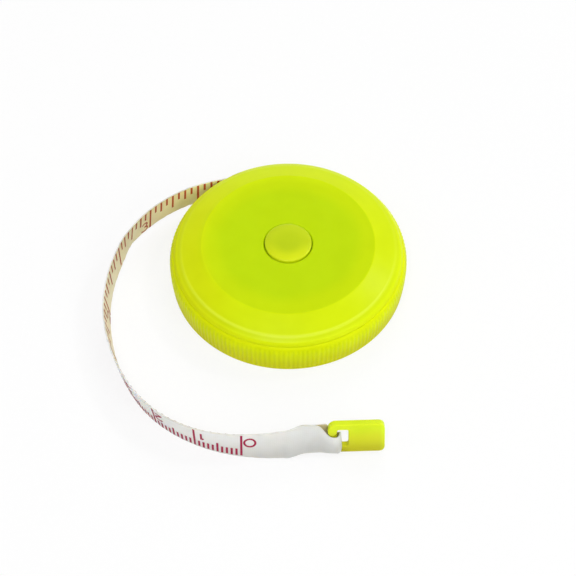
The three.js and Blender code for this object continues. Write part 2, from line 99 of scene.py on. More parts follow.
# %% From points and faces to a piece
def make_piece(name, points, faces, crisp=40, places=None):
    """A smooth mesh from points in mm; places gives each its (u, v) spot for the materials."""
    mesh = bpy.data.meshes.new(name)
    mesh.from_pydata((np.array(points, float) * mm).tolist(), [], faces)
    mesh.validate()
    if places is not None:
        spots = np.array(places, float)[[loop.vertex_index for loop in mesh.loops]]
        mesh.uv_layers.new(name="UVMap").data.foreach_set("uv", spots.ravel())
    build = bmesh.new()
    build.from_mesh(mesh)
    bmesh.ops.remove_doubles(build, verts=build.verts, dist=1e-7)
    bmesh.ops.recalc_face_normals(build, faces=build.faces)
    build.to_mesh(mesh)
    build.free()
    mesh.polygons.foreach_set("use_smooth", [True] * len(mesh.polygons))
    mesh.set_sharp_from_angle(angle=math.radians(crisp))
    piece = bpy.data.objects.new(name, mesh)
    bpy.context.scene.collection.objects.link(piece)
    return piece


def dress(piece, *finishes):
    """Gives a piece its materials, one slot each."""
    piece.data.materials.clear()
    for finish in finishes:
        piece.data.materials.append(finish)


# %% Faces of a grid, open or closed either way
def grid_faces(rows, columns, close_rows=False, close_columns=False):
    """Four-sided faces that join a grid of points, row after row."""
    faces = []
    for r in range(rows if close_rows else rows - 1):
        for c in range(columns if close_columns else columns - 1):
            r2, c2 = (r + 1) % rows, (c + 1) % columns
            faces.append((r * columns + c, r * columns + c2, r2 * columns + c2, r2 * columns + c))
    return faces


def tube_faces(rows, columns):
    """Faces of a tube of closed sections, with a cap on both ends."""
    last = (rows - 1) * columns
    caps = [tuple(range(columns))[::-1], tuple(range(last, last + columns))]
    return grid_faces(rows, columns, close_columns=True) + caps


# %% Round the corners of a profile
def rounded(profile, steps=4):
    """Profile rows are (radius, height, rounding): each corner becomes a small arc."""
    rows = [np.array(row[:2], float) for row in profile]
    line = [rows[0]]
    for before, here, after, corner in zip(rows, rows[1:], rows[2:], profile[1:]):
        rounding = corner[2] if len(corner) > 2 else 0
        into, out = before - here, after - here
        room = 0.45 * min(np.linalg.norm(into), np.linalg.norm(out))
        into, out = into / np.linalg.norm(into), out / np.linalg.norm(out)
        half = math.acos(np.clip(into @ out, -1, 1)) / 2
        if rounding == 0 or half > 1.55:
            line.append(here)
            continue
        reach = min(rounding / math.tan(half), room)
        start, end = here + into * reach, here + out * reach
        for k in range(steps + 1):
            t = k / steps
            line.append((1 - t) ** 2 * start + 2 * t * (1 - t) * here + t ** 2 * end)
    line.append(rows[-1])
    return np.array(line)


# %% Turn a profile round the upright axis
def turned(profile, columns, shape=None):
    """Points and faces of a turned body; shape(radius, height, angle) may change the radius."""
    closed = np.allclose(profile[0], profile[-1])
    rows = profile[:-1] if closed else profile
    angles = 2 * math.pi * np.arange(columns) / columns
    points = []
    for radius, height in rows:
        radii = np.full(columns, radius) if shape is None else shape(radius, height, angles)
        ring = [radii * np.cos(angles), radii * np.sin(angles), np.full(columns, height)]
        points.extend(np.column_stack(ring))
    return points, grid_faces(len(rows), columns, close_rows=closed, close_columns=True)


print("12 columns, 2 rows:", len(turned([(1, 0), (2, 0)], 12)[0]), "points")

# %% [markdown]
# ## Where the tape runs
#
# The loose tape is the cord of this object, so its route comes first. It starts inside the case
# by the wound roll, slides out along a circle through the slot, swings round in a wide curve,
# drops to the table and ends at the tab. The rows repeat the solid model's points: plan place,
# height of the lower edge, and lean in degrees, up to 3 degrees more at the left bend. The smooth
# curve through them is the solid's too.

# %% The circle that the tape slides along
tape_width, tape_thickness, tape_foot = 7, 0.4, 1.4
inner_wall = 23.6
wound_radius = inner_wall * 0.72
slide_radius = wound_radius * 1.79
slide_gap, slide_lean = 0.4, -6
slide_offset = slide_radius - wound_radius - slide_gap - tape_thickness / 2
slide_bearing = math.radians(226.6)


def toward(angle):
    """A step of length 1 in plan, at an angle in radians."""
    return np.array([math.cos(angle), math.sin(angle)])


slide_centre = slide_offset * toward(slide_bearing)
print("the tape slides round", slide_centre.round(2))

# %% The route's points
route_rows = []
for angle in np.radians(np.linspace(48, 148, 17)):
    route_rows.append([*(slide_centre + slide_radius * toward(angle)), tape_foot, slide_lean])
route_rows += [
    [-36.3, 2.9, 1.4, 1], [-38.2, -3.5, 1.1, 4], [-39.1, -10, 0.6, 7],
    [-38.8, -16.7, 0.25, 10], [-37.3, -23.5, 0.1, 10], [-34.6, -30.2, 0.1, 10],
    [-30.7, -36.3, 0.1, 9], [-25.5, -41.2, 0.1, 8], [-19.2, -44.6, 0.1, 4],
    [-12.6, -46.4, 0.1, -3], [-6, -46.8, 0.1, -12], [-1.2, -46.3, 0.1, -18],
    [2.6, -45.35, 0.1, -21],
]
route_rows = np.array(route_rows)
strip_end = 27
print("route points:", len(route_rows))


# %% The curve through them
def along_rows(rows, at):
    """Values of a Catmull-Rom curve through rows, at whole and part row numbers."""
    padded = np.vstack([2 * rows[0] - rows[1], rows, 2 * rows[-1] - rows[-2]])
    first = np.minimum(np.floor(at).astype(int), len(rows) - 2)
    t = (at - first)[:, None]
    a, b, c, d = (padded[first + k] for k in range(4))
    start, end = (c - a) / 2, (d - b) / 2
    return (
        b + start * t + (3 * (c - b) - 2 * start - end) * t ** 2
        + (2 * (b - c) + start + end) * t ** 3
    )


def unit_rows(rows):
    """Each row scaled to length 1."""
    return rows / np.linalg.norm(rows, axis=1)[:, None]


def path_lengths(points):
    """How far along the line of points each one lies."""
    return np.concatenate([[0], np.cumsum(np.linalg.norm(np.diff(points, axis=0), axis=1))])


steps = np.linspace(0, len(route_rows) - 1, 1400)
fine = along_rows(route_rows, steps)
travelled = path_lengths(fine[:, :2])
heading = unit_rows(np.gradient(fine[:, :2], axis=0))
strip_length = np.interp(strip_end, steps, travelled)
zero_spot, second_half = [-9.6, -46.5], len(fine) // 2
from_zero = np.hypot(*(fine[second_half:, :2] - zero_spot).T)
zero_mark = travelled[second_half + np.argmin(from_zero)]
print(f"the strip is {strip_length:.1f} mm long, with its zero line at {zero_mark:.1f} mm")

# %% Any point on the tape, from how far along and how high up it is
route_columns = np.hstack([fine, heading]).T


def on_tape(along, up, out=0):
    """Points in mm: along from the reel's end, up from the lower edge, out from the middle."""
    along, up, out = np.broadcast_arrays(*(np.asarray(v, float) for v in (along, up, out)))
    x, y, low, lean, ahead_x, ahead_y = (np.interp(along, travelled, c) for c in route_columns)
    cos, sin = (wave(np.radians(lean))[..., None] for wave in (np.cos, np.sin))
    beside, upright = np.stack([ahead_y, -ahead_x, 0 * x], -1), np.array([0, 0, 1])
    rise, face = cos * upright + sin * beside, cos * beside - sin * upright
    lift = tape_width / 2 * cos + tape_thickness / 2 * np.abs(sin)
    middle = np.stack([x, y, low], -1) + upright * lift
    return middle + rise * (up - tape_width / 2)[..., None] + face * out[..., None]


print("zero line's foot:", on_tape(zero_mark, 0.0).round(2))

# %% [markdown]
# ## The tape itself
#
# The tape is a coated woven strip, white outside and cream inside, with soft heat-cut edges that
# ripple a little. It is drawn as a row of thin rounded sections along the route. The distance
# along and up the tape goes into the UV map, so that the weave follows the strip round its curve.

# %% Lay the sections of the printed tape
cloth_half = 0.16


def ripple(along, up):
    """How far the soft edges of the tape wave out of line, in mm."""
    edge = np.clip((np.abs(up - tape_width / 2) - 1.6) / 1.6, 0, 1)
    return 0.035 * edge * np.sin(along * 2.9) * np.sin(along * 0.61 + 1)


section = [
    (0, 0), (0.06, 0.8), (0.3, 1), (1.9, 1), (3.5, 1), (5.1, 1), (6.7, 1),
    (6.94, 0.8), (7, 0), (6.94, -0.8), (6.7, -1), (5.1, -1), (3.5, -1), (1.9, -1),
    (0.3, -1), (0.06, -0.8),
]
stations = np.linspace(0, strip_length, 320)
tape_points, tape_places = [], []
ups, outs = np.array(section).T * [[1], [cloth_half]]
for station in stations:
    tape_points.extend(on_tape(station, ups, outs + ripple(station, ups)))
    tape_places.extend((station / 10, up / 10) for up in ups)
around = len(section)
printed_tape = make_piece("printed_tape", tape_points, tube_faces(len(stations), around), 60,
                          tape_places)
tape_path = on_tape(np.linspace(0, strip_length, 240), tape_width / 2) * mm
print("printed tape:", len(tape_points), "points")

# %% [markdown]
# ## Printed lines and numbers
#
# A picture texture could hold the marks, but very thin flat shapes stay sharp from any distance.
# They lie a fiftieth of a millimetre above the tape and bend with it. The outer face counts
# centimetres from its lower edge, and the inner face inches in sixteenths from its upper edge.
# The numbers are plain strokes, drawn in a unit square.

# %% A flat stroke of ink that bends with the tape
ink_lift = cloth_half + 0.02


def half_widths(line, width, closed=False):
    """Steps from the points of a flat line to its left side."""
    ahead = np.gradient(line, axis=0)
    if closed:
        ahead = np.roll(line, -1, axis=0) - np.roll(line, 1, axis=0)
    return unit_rows(ahead)[:, ::-1] * [-width / 2, width / 2]


class Ink:
    """Gathers flat ink strokes on one face of the tape."""

    def __init__(self, face):
        self.face = face
        self.points, self.faces, self.places = [], [], []

    def stroke(self, line, width, closed=False):
        """Adds a line of (along, up) points in mm, drawn with a square-ended pen."""
        line = np.array(line, float)
        first = len(self.points)
        for point, reach in zip(line, half_widths(line, width, closed)):
            for spot in (point + reach, point - reach):
                out = self.face * ink_lift + ripple(*spot)
                self.points.append(on_tape(*spot, out))
                self.places.append(spot / 10)
        count = len(line) if closed else len(line) - 1
        for k in range(count):
            a, b = first + 2 * k, first + 2 * ((k + 1) % len(line))
            self.faces.append((a, a + 1, b + 1, b))

    def mark(self, along, low, high, width):
        """Adds one straight line across the tape."""
        self.stroke([(along, up) for up in np.linspace(low, high, 4)], width)

    def piece(self, name):
        return make_piece(name, self.points, self.faces, 60, self.places)


print("ink stands", round(ink_lift - cloth_half, 3), "mm proud")


# %% The shapes of the numbers
def arc(x, y, wide, high, start, end, count=13):
    """Points of part of an oval, with its angles in degrees."""
    angles = np.radians(np.linspace(start, end, count))
    return np.column_stack([x + wide * np.cos(angles), y + high * np.sin(angles)])


six = np.vstack([arc(0.95, 0.36, 0.9, 0.62, 110, 180, 7),
                 arc(0.5, 0.32, 0.45, 0.32, 180, 525, 20)])
number_strokes = {
    "0": [arc(0.5, 0.5, 0.5, 0.5, 90, 450, 25)],
    "1": [[(0.22, 0.76), (0.5, 1)], [(0.5, 1), (0.5, 0.5), (0.5, 0)]],
    "2": [np.vstack([arc(0.5, 0.7, 0.45, 0.3, 165, -35, 11), [(0.45, 0.25), (0.05, 0)]]),
          [(0.03, 0), (0.5, 0), (1, 0)]],
    "3": [arc(0.45, 0.75, 0.42, 0.25, 150, -90, 11), arc(0.45, 0.25, 0.5, 0.25, 90, -155, 12)],
    "4": [[(0.75, 0), (0.75, 0.5), (0.75, 1)], [(0.72, 1), (0.02, 0.32)],
          [(0, 0.3), (0.5, 0.3), (1, 0.3)]],
    "5": [[(0.92, 1), (0.5, 1), (0.2, 1)], [(0.2, 1), (0.12, 0.5)],
          arc(0.46, 0.32, 0.48, 0.32, 140, -150, 14)],
    "6": [six],
    "7": [[(0.02, 1), (0.5, 1), (0.98, 1)], [(0.96, 1), (0.55, 0.5), (0.35, 0)]],
    "8": [arc(0.5, 0.76, 0.37, 0.24, -90, 270, 18), arc(0.5, 0.26, 0.48, 0.26, -90, 270, 20)],
    "9": [1 - six],
}
print("numbers drawn:", " ".join(number_strokes))


# %% Write a number beside its line
def write_number(ink, number, along, up, high, wide, turn, pen):
    """Writes a number whose first foot is at (along, up); turn -1 writes it upside down."""
    for place, figure in enumerate(str(number)):
        for line in number_strokes[figure]:
            spots = np.array(line, float) * [wide, high] + [place * wide * 1.3, 0]
            spots = [along, up] + turn * spots
            round_again = np.allclose(spots[0], spots[-1])
            ink.stroke(spots[:-1] if round_again else spots, pen, round_again)


# %% Centimetres on the outer face
centimetres = Ink(1)
for count in range(int(zero_mark) + 1):
    height = 6.8 if count % 10 == 0 else 3.6 if count % 5 == 0 else 2.6
    centimetres.mark(zero_mark - count, 0.45, height, 0.48)
for count in range(int(zero_mark) // 10 + 1):
    wide = 2.3 if count == 0 else 1.9
    start = zero_mark - 10 * count + 0.6 + wide * (1 + 1.3 * (len(str(count)) - 1))
    write_number(centimetres, count, start, 5.7, 2.3, wide, -1, 0.46)
centimetre_print = centimetres.piece("centimetre_print")
print("centimetre print:", len(centimetres.faces), "faces")

# %% Inches on the inner face
inches = Ink(-1)
inch = 25.4
sixteenth = inch / 16
for count in range(int(zero_mark / sixteenth) + 1):
    length = next(size for every, size in ((16, 6.8), (8, 6), (4, 4.6), (2, 3.5), (1, 2.5))
                  if count % every == 0)
    inches.mark(zero_mark - count * sixteenth, 6.9 - length, 6.9, 0.5)
for count in range(1, int(zero_mark / inch) + 1):
    write_number(inches, count, zero_mark - inch * count + 2.75, 0.5, 2.9, -2, 1, 0.42)
inch_print = inches.piece("inch_print")
print("inch print:", len(inches.faces), "faces")

# %% [markdown]
# ## Shader maths in plain Python
#
# A material is a net of nodes. Wiring each by hand hides the idea, so a small class wraps one
# output socket and lets Python's own signs add the Math nodes: `1 - worn` makes a Subtract node.
# Every other node comes from one method, which sets the node up and fills or links its sockets.

# %% A socket that can be added, subtracted and multiplied
def sign(operation, swapped=False):
    """A method for one of Python's signs, which adds one Math node."""
    def method(self, other):
        pair = (other, self) if swapped else (self, other)
        return self.net.maths(operation, *pair)
    return method


class Value:
    """One output socket of a net of nodes."""

    def __init__(self, net, socket):
        self.net, self.socket = net, socket

    __add__, __radd__ = sign("ADD"), sign("ADD", True)
    __sub__, __rsub__ = sign("SUBTRACT"), sign("SUBTRACT", True)
    __mul__, __rmul__ = sign("MULTIPLY"), sign("MULTIPLY", True)


print("signs that add nodes: + - *")


# %% A recipe is one material in the making
def linear(red, green, blue):
    """A screen colour, 0 to 255 a channel, as the light amounts that Blender works with."""
    return tuple((c / 255 / 12.92 if c < 10.3 else ((c / 255 + 0.055) / 1.055) ** 2.4)
                 for c in (red, green, blue)) + (1,)


class Net:
    """The nodes of a material or of the world, and short ways to add them."""

    def __init__(self, tree):
        self.tree = tree

    def fill(self, socket, value):
        """Links a value to a socket, or writes a plain one into it."""
        if isinstance(value, Value):
            self.tree.links.new(value.socket, socket)
        else:
            socket.default_value = value

    def node(self, kind, settings=None, sockets=None, out=0):
        """Adds a node: its settings first, then the values or links of its sockets."""
        node = self.tree.nodes.new(kind)
        for name, setting in (settings or {}).items():
            setattr(node, name, setting)
        for name, value in (sockets or {}).items():
            self.fill(node.inputs[name], value)
        return Value(self, node.outputs[out])

    def maths(self, operation, *values):
        return self.node("ShaderNodeMath", {"operation": operation}, dict(enumerate(values)))

    def vectors(self, operation, sockets, out=0):
        return self.node("ShaderNodeVectorMath", {"operation": operation}, sockets, out)

    def place(self):
        """Where a point of the surface lies, in mm."""
        spot = self.node("ShaderNodeTexCoord", out="Object")
        return self.vectors("SCALE", {"Vector": spot, "Scale": 1 / mm})

    def parts(self, vector):
        """The three numbers of a vector."""
        first = self.node("ShaderNodeSeparateXYZ", {}, {"Vector": vector})
        return [Value(self, socket) for socket in first.socket.node.outputs]

    def radius(self, place):
        """The distance from the upright axis."""
        flat = self.vectors("MULTIPLY", {0: place, 1: (1, 1, 0)})
        return self.vectors("LENGTH", {0: flat}, "Value")

    def noise(self, place, scale, detail=2, roughness=0.5):
        return self.node("ShaderNodeTexNoise", {}, {
            "Vector": place, "Scale": scale, "Detail": detail, "Roughness": roughness})

    def mix(self, amount, first, second):
        """A blend of two colours."""
        return self.node("ShaderNodeMix", {"data_type": "RGBA"},
                         {"Factor": amount, 6: first, 7: second}, out=2)

    def tints(self, colour, *rows):
        """A colour multiplied by each row's tint where the row's amount is 1."""
        for amount, tint in rows:
            colour = self.node("ShaderNodeMix", {"data_type": "RGBA", "blend_type": "MULTIPLY"},
                               {"Factor": amount, 6: colour, 7: (*tint, 1)}, out=2)
        return colour

    def between(self, value, low, high):
        """0 below low, 1 above high and a smooth step between them."""
        return self.node("ShaderNodeMapRange", {"interpolation_type": "SMOOTHSTEP"},
                         {"Value": value, "From Min": low, "From Max": high})

    def below(self, value, low, high):
        """1 below low, 0 above high and a smooth step between them."""
        return 1 - self.between(value, low, high)

    def seen(self):
        """1 where the camera looks, straight or by way of a mirror or glass, else 0."""
        rays = self.node("ShaderNodeLightPath").socket.node.outputs
        camera, mirror, glass = (Value(self, rays[f"Is {kind} Ray"])
                                 for kind in ("Camera", "Glossy", "Transmission"))
        return camera + mirror + glass


class Recipe(Net):
    """A material with one Principled shader, and the nodes that feed it."""

    def __init__(self, name, **constants):
        self.material = bpy.data.materials.new(name)
        self.material.use_nodes = True
        super().__init__(self.material.node_tree)
        self.shader = self.tree.nodes["Principled BSDF"]
        self.feed(**constants)

    def feed(self, **sockets):
        """Writes constants into the shader, and wires what changes over the surface."""
        for name, value in sockets.items():
            self.fill(self.shader.inputs[name.replace("_", " ")], value)

    def finish(self, colour, roughness, height, strength, depth):
        """Wires colour, roughness and a relief with its depth in mm, and gives the material."""
        relief = self.node("ShaderNodeBump", {}, {
            "Height": height, "Strength": strength, "Distance": depth * mm})
        self.feed(Base_Color=colour, Roughness=roughness, Normal=relief)
        return self.material


print("a mid yellow-green is", [round(c, 3) for c in linear(205, 225, 30)])

# %% [markdown]
# ## Coated cloth and its ink
#
# A measuring tape is woven from fine threads and coated, so it shows a faint weave under a satin
# skin. Two wave patterns that cross make the weave, and follow the UV map. The coating is greyer
# along both edges, where it wears. Painted shade darkens the cloth towards the tab, the cream side
# gets painted light near the case and painted shade by the tab, and the ink painted light near the
# case. The ink takes the same weave in its bump.

# %% The weave, and the cloth's finish
def weave(recipe, spot, pitch=0.42):
    """Height of crossing threads; pitch is their spacing in mm, and spot counts in 10 mm."""
    sockets = {"Vector": spot, "Scale": 3.1416 / pitch, "Distortion": 0.5, "Detail": 1}
    warp, weft = (recipe.node("ShaderNodeTexWave", {"bands_direction": across}, sockets, out=1)
                  for across in "YX")
    return warp * 0.6 + weft * 0.4


def coated_cloth(name, colour, shade, wear_and_highlight, painted_light_by_case=(1, 1, 1), painted_shade_by_tab=(1, 1, 1)):
    """Woven tape with a satin coating that lets light through, and painted light and shade."""
    cloth = Recipe(name, Specular_IOR_Level=0.3, Subsurface_Weight=0.6,
                   Subsurface_Radius=(1, 0.8, 0.6), Subsurface_Scale=0.5 * mm)
    between, below = cloth.between, cloth.below
    spot = cloth.node("ShaderNodeUVMap", {"uv_map": "UVMap"})
    along, up, _ = cloth.parts(spot)
    cloud = between(cloth.noise(spot, 2.2, 4), 0.3, 0.7)
    rim = between(cloth.maths("ABSOLUTE", up - 0.35), 0.29, 0.352)
    threads = weave(cloth, spot)
    body = cloth.tints(
        cloth.mix(cloud, colour, shade), ((1 - threads) * 0.5, (0.93, 0.92, 0.9)),
        # Painted shade: darker towards the tab's end, less so on the upper half, and low down
        # before it.
        (between(along, 10.6, 13.6) * (1 - 0.55 * between(up, 0.25, 0.65)), (0.77, 0.77, 0.76)),
        (between(along, 8, 10.8) * below(up, 0, 0.42), (0.86, 0.86, 0.86)),
        # Painted light on the cream side near the case, painted shade with a green cast by the
        # tab.
        (below(along, 3.5, 5.3), painted_light_by_case), (between(along, 13.6, 14.2), painted_shade_by_tab))
    return cloth.finish(cloth.mix(rim * cloud, body, wear_and_highlight), 0.5 + threads * 0.08 + cloud * 0.08,
                        threads, 0.5, 0.02)


outer_cloth = coated_cloth("white_cloth", linear(243, 244, 242), linear(237, 238, 235),
                           linear(214, 213, 207))
# The cream cloth's last two tints are painted light near the case and painted shade by the tab.
inner_cloth = coated_cloth("cream_cloth", linear(228, 219, 192), linear(220, 210, 180),
                           linear(206, 196, 164), (1.34, 1.28, 1.14), (0.8, 0.78, 0.6))
cut_cloth = coated_cloth("cut_cloth", linear(236, 235, 230), linear(229, 228, 222),
                         linear(216, 214, 206))
print("made", outer_cloth.name, inner_cloth.name, cut_cloth.name)


# %% The ink's finish
def tape_ink(name, colour, faded):
    """Matt printing ink, a little faded in places, with painted light near the case."""
    recipe = Recipe(name, Specular_IOR_Level=0.2)
    spot = recipe.node("ShaderNodeUVMap", {"uv_map": "UVMap"})
    wear = recipe.between(recipe.noise(spot, 38, 3), 0.45, 0.75)
    # Painted light: the ink is lighter where the tape leaves the case.
    painted_light_near_case = recipe.below(recipe.parts(spot)[0], 3.5, 5.3)
    body = recipe.tints(recipe.mix(wear, colour, faded), (painted_light_near_case, (1.6, 1.5, 1.3)))
    return recipe.finish(body, 0.55 + wear * 0.2, weave(recipe, spot), 0.3, 0.01)


dress(centimetre_print, tape_ink("crimson_ink", linear(160, 30, 66), linear(182, 66, 96)))
dress(inch_print, tape_ink("russet_ink", linear(158, 64, 38), linear(176, 92, 62)))
print("inks:", centimetre_print.data.materials[0].name, inch_print.data.materials[0].name)


# %% Give each side of a strip its own cloth
def dress_strip(piece, edge_cloth):
    """Outer cloth, inner cloth and cut edges, on a strip made of the tape's section."""
    dress(piece, outer_cloth, inner_cloth, edge_cloth)
    outer, inner, edge = range(3)
    half = around // 2
    side = [outer] * half + [inner] * half
    for column in (0, half - 1, half, around - 1):
        side[column] = edge
    rows = len(piece.data.polygons) // around
    piece.data.polygons.foreach_set("material_index", side * rows + [edge, edge])
    piece.data.update()


dress_strip(printed_tape, cut_cloth)
print("cloths on the strip:", len(printed_tape.data.materials))

# %% [markdown]
# ## Where the pull tab stands
#
# The pull tab stands on its foot at the end of the tape and leans back. It has a frame of its
# own: X runs along it, Y through it and Z up its face. One matrix brings its points to place.

# %% The tab's frame
tab_half, tab_lean, tab_turn = 0.9, math.radians(21), math.radians(2)
tab_place = (Matrix.Translation((8.2, -45.8, 0.1 + tab_half * math.sin(tab_lean)))
             @ Matrix.Rotation(tab_turn, 4, "Z") @ Matrix.Rotation(-tab_lean, 4, "X"))


def on_tab(x, y, z):
    """A point of the tab's frame, in mm."""
    return np.array(tab_place @ Vector((x, y, z)))


print("the tab's foot is at", on_tab(0, 0, 0).round(2))

# %% [markdown]
# ## The doubled end of the tape
#
# The last stretch is blank and folded back on itself: the front layer narrows with a slanted cut,
# passes in front of the tab's bar, turns round it and lies behind as a second layer. Folded cloth
# is soft and puffy, so this piece is a ribbon between two rails, its lower and upper edge, which
# may move apart. Where the fold presses on the tab's foot, the lower rail bulges forwards.

# %% The two rails of the ribbon
end_rows, leaving = [], 1.3
for index in np.linspace(strip_end, strip_end + leaving, 5):
    gone = ((index - strip_end) / leaving) ** 2
    spot = np.interp(index, steps, travelled)
    end_rows.append([*on_tape(spot, 0, 0.5 * gone), *on_tape(spot, tape_width, 0.2 * gone)])
tab_rows = [
    (-5.3, -1.05, 0, -5.3, -0.35, 6.65), (-3.2, -0.8, 0, -3.2, -0.3, 6.65),
    (-2.1, -0.8, 0, -2.1, -0.33, 6.5), (-1.4, -0.85, 0, -1.45, -0.4, 6.15),
    (-0.6, -0.95, 0, -0.7, -0.5, 5.2), (0.2, -1.1, 0, 0.05, -0.78, 4.35),
    (0.95, -1.2, 0.02, 0.7, -1.02, 3.95), (1.6, -1.3, 0.05, 1.4, -1.14, 3.9),
    (2.15, -1.35, 0.1, 1.95, -1.02, 3.95), (2.6, -1.22, 0.5, 2.4, -0.62, 4.25),
    (2.78, -0.8, 1.2, 2.6, -0.15, 4.6), (2.65, -0.2, 1.5, 2.55, 0.3, 4.35),
    (2.1, 0.85, 1.3, 2.1, 0.9, 3.9), (1.4, 1.12, 1.2, 1.4, 1.12, 3.8),
    (0.6, 1.12, 0.9, 0.6, 1.12, 3.9), (-0.15, 0.95, 0.4, -0.05, 0.9, 4.4),
    (-0.5, 0.75, 0.1, -0.06, 0.74, 5.5), (-0.8, 0.55, 0, -0.25, 0.55, 6.3),
    (-1.6, 0.4, 0, -1.4, 0.4, 6.4), (-3.2, 0.27, 0, -3.2, 0.27, 6.35),
    (-5.3, 0.2, 0, -5.3, 0.24, 6.4),
]
end_rows += [[*on_tab(*row[:3]), *on_tab(*row[3:])] for row in tab_rows]
for index in (strip_end + 1.5, strip_end + 1.1):
    spot = np.interp(index, steps, travelled)
    end_rows.append([*on_tape(spot, 0, -0.27), *on_tape(spot, tape_width - 0.4, -0.27)])
end_rows = np.array(end_rows)
print("rows of the doubled end:", len(end_rows))

# %% Sections between the rails
rails = along_rows(end_rows, np.linspace(0, len(end_rows) - 1, 230))
middles = (rails[:, :3] + rails[:, 3:]) / 2
gone_by, ahead = path_lengths(middles), np.gradient(middles, axis=0)
puffs = [(0.28, -6.5, 3.2, 3, 2), (-0.3, -1.4, 1.9, 1.1, 1.6), (0.16, 1.3, 2.2, 0.9, 1)]
end_points, end_places = [], []
for k, rail in enumerate(rails):
    low, high = rail[:3], rail[3:]
    rise = (high - low) / np.linalg.norm(high - low)
    face = np.cross(ahead[k], rise)
    face /= np.linalg.norm(face)
    for up, out in section:
        spot = low + (high - low) * (up / tape_width)
        x, y, z = tab_place.inverted() @ Vector(spot)
        puff = sum(size * math.exp(-((x - mid_x) / wide) ** 2 - ((z - mid_z) / tall) ** 2)
                   for size, mid_x, mid_z, wide, tall in puffs)
        puff = puff * (y < 0) + 0.02 * math.sin(x * 3.1 + z) * math.sin(z * 2.3)
        spot = spot + face * (out * cloth_half + puff)
        end_points.append(spot)
        end_places.append(((strip_length + gone_by[k]) / 10, up / 10))
tape_end = make_piece("tape_end", end_points, tube_faces(len(rails), around), 60, end_places)
dress_strip(tape_end, outer_cloth)
print(f"the doubled end has {gone_by[-1]:.1f} mm of cloth")

# %% [markdown]
# ## Plastic
#
# Moulded plastic is never one flat colour: the pigment is cloudy, the gloss changes where the
# mould was polished, and a fine grain breaks the reflections. One function makes it, and each
# piece may tint it where its own shape asks for it, mostly with painted light and shade. The shine
# is low, because a strong white reflection would wash out such a bright colour.

# %% Moulded plastic
def plastic(name, colour, shade, tint=None, shine=0.2, rough=0.36):
    """Cloudy pigment, varied gloss, fine grain; tint(recipe, colour, place) may add painted light.
    """
    recipe = Recipe(name, Specular_IOR_Level=shine, Subsurface_Weight=0.5,
                    Subsurface_Radius=(1, 1, 0.2), Subsurface_Scale=1.2 * mm)
    place = recipe.place()
    cloud = recipe.between(recipe.noise(place, 0.16, 3), 0.32, 0.68)
    grain = recipe.noise(place, 6, 3, 0.6)
    scuffs = recipe.between(recipe.noise(place, 0.9, 5, 0.7), 0.56, 0.74)
    body = recipe.mix(cloud, colour, shade)
    if tint is not None:
        body = tint(recipe, body, place)
    return recipe.finish(body, rough + grain * 0.1 + scuffs * 0.14, grain, 0.25, 0.02)


ivory_plastic = plastic("ivory_plastic", linear(232, 228, 212), linear(224, 218, 200), rough=0.45,
                        shine=0.4)
print("made", ivory_plastic.name)

# %% [markdown]
# ## The case
#
# The case is two shells that snap together. The lower one is a shallow barrel with a floor, a
# hollow post for the spring and the button, and 160 small upright ribs for a good grip. A shape
# function pushes the turned wall in between the ribs, with eight columns of points for each. The
# tape's slot is cut with a Boolean, because it runs at a slant that no row of points follows.

# %% Cut or join two pieces
def combine(piece, tool, operation="DIFFERENCE", crisp=35):
    """Applies a Boolean with the other piece, which is used up."""
    modifier = piece.modifiers.new("shape", "BOOLEAN")
    modifier.operation, modifier.solver, modifier.object = operation, "MANIFOLD", tool
    bpy.context.view_layer.update()
    result = bpy.data.meshes.new_from_object(
        piece.evaluated_get(bpy.context.evaluated_depsgraph_get()))
    piece.modifiers.clear()
    piece.data = result
    result.set_sharp_from_angle(angle=math.radians(crisp))
    bpy.data.objects.remove(tool)


# %% The cutter of the tape's slot
slot_half, slot_low, slot_high = 0.7, 1.15, 8.65


def slot_cutter():
    """A sector of the circle that the tape slides along, wider than the tape on both sides."""
    corners = [(-slot_half, slot_low), (slot_half, slot_low), (slot_half, slot_high),
               (-slot_half, slot_high)]
    points = [[*(slide_centre + (slide_radius + reach) * toward(angle)), height]
              for angle in np.radians(np.linspace(84, 121, 60)) for reach, height in corners]
    return make_piece("slot_cutter", points, tube_faces(60, len(corners)))


print("the slot is", 2 * slot_half, "mm wide")

# %% The ribbed wall
rib_count, rib_depth, rib_low, rib_high, rib_fade = 160, 0.13, 0.3, 7.2, 0.6
belly_radius, belly_height = 25.85, 5.8


def belly(height):
    """Outer radius of the barrel at a height: it is widest near its upper edge."""
    above = height - belly_height
    return belly_radius - (0.0135 if above < 0 else 0.24) * above ** 2


def ribbed(radius, height, angles):
    """Pushes the outer surface in between the ribs, fading out at both edges."""
    if radius < 24.6 or not rib_low < height < rib_high:
        return np.full(len(angles), radius)
    fade = min((height - rib_low) / rib_fade, (rib_high - height) / rib_fade, 1)
    fade = fade * fade * (3 - 2 * fade)
    return radius - rib_depth * fade * (1 + np.cos(angles * rib_count)) / 2


wall_heights = np.concatenate([np.linspace(0.35, 1, 5), np.linspace(1.5, 6.2, 9),
                               np.linspace(6.5, 7.2, 6)])
wall_profile = rounded([
    (inner_wall, 0.5), (inner_wall, 0), (25.05, 0, 0.3), (25.42, 0.2, 0.3),
    *[(belly(h), h) for h in wall_heights],
    (25.2, 7.5, 0.2), (25, 7.62, 0.12), (24.5, 7.62, 0.08), (24.5, 5), (inner_wall, 5),
    (inner_wall, 0.5),
])
case_base = make_piece("case_base", *turned(wall_profile, 8 * rib_count, ribbed), 35)
print("ribbed wall:", len(case_base.data.vertices), "points")

# %% The floor, the post with its slit, and the tape's guide
def block(name, xs, ys, zs):
    """A box between two values along each axis."""
    faces = [(0, 1, 3, 2), (4, 6, 7, 5), (0, 4, 5, 1), (2, 3, 7, 6), (0, 2, 6, 4), (1, 5, 7, 3)]
    return make_piece(name, [(x, y, z) for z in zs for y in ys for x in xs], faces)


